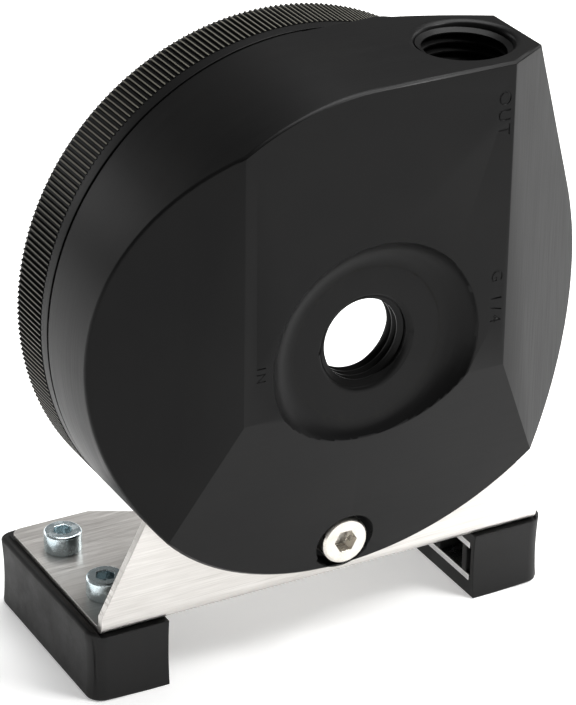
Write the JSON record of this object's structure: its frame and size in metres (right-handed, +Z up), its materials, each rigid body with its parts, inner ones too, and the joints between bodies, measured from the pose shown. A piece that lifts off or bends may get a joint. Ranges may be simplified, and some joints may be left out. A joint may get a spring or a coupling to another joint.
{
  "type": "pump top",
  "caption": "Black housing with threaded ports for a coolant pump, with a knurled clamp ring, on a bent steel bracket with rubber feet.",
  "frame": {"origin": "on the surface it stands on, under the middle of its bounding box", "axes": "+Z up along the outlet, -Y out of the front face along the inlet, +X to the outlet's side"},
  "size_m": [0.076, 0.0452, 0.0905],
  "materials": {
    "housing_black": "fine turned and milled",
    "ring_black": "straight knurled",
    "slip_white": "smooth",
    "seal_rubber": "smooth",
    "brushed_sheet": "brushed along the bend",
    "stainless_screw": "turned",
    "zinc_screw": "bright zinc plate",
    "strip_steel": "bright",
    "foot_rubber": "moulded satin"
  },
  "bodies": {
    "housing": {"pump_top": "housing_black", "seal_ring": "seal_rubber", "bracket": "brushed_sheet", "bracket_screw": "stainless_screw", "foot_left": "foot_rubber", "foot_right": "foot_rubber", "upper_strip_left": "strip_steel", "upper_strip_right": "strip_steel", "lower_strip_left": "strip_steel", "lower_strip_right": "strip_steel", "foot_screw_left_front": "zinc_screw", "foot_screw_left_rear": "zinc_screw", "foot_screw_right_front": "zinc_screw", "foot_screw_right_rear": "zinc_screw"},
    "slip_ring": {"slip_ring": "slip_white"},
    "clamp_ring": {"clamp_ring": "ring_black"}
  },
  "joints": [
    {"name": "ring_travel", "type": "slide", "parent": "housing", "child": "slip_ring", "axis": [0, 1, 0], "range_m": [0, 0.00601]},
    {"name": "ring_turn", "type": "hinge", "parent": "slip_ring", "child": "clamp_ring", "pos_m": [0, 0.00535, 0.0525], "axis": [0, 1, 0], "range_deg": [0, 1440]}
  ],
  "couplings": [
    {"joint": "ring_travel", "follows": "ring_turn", "m_per_rad": 0.00023873}
  ]
}
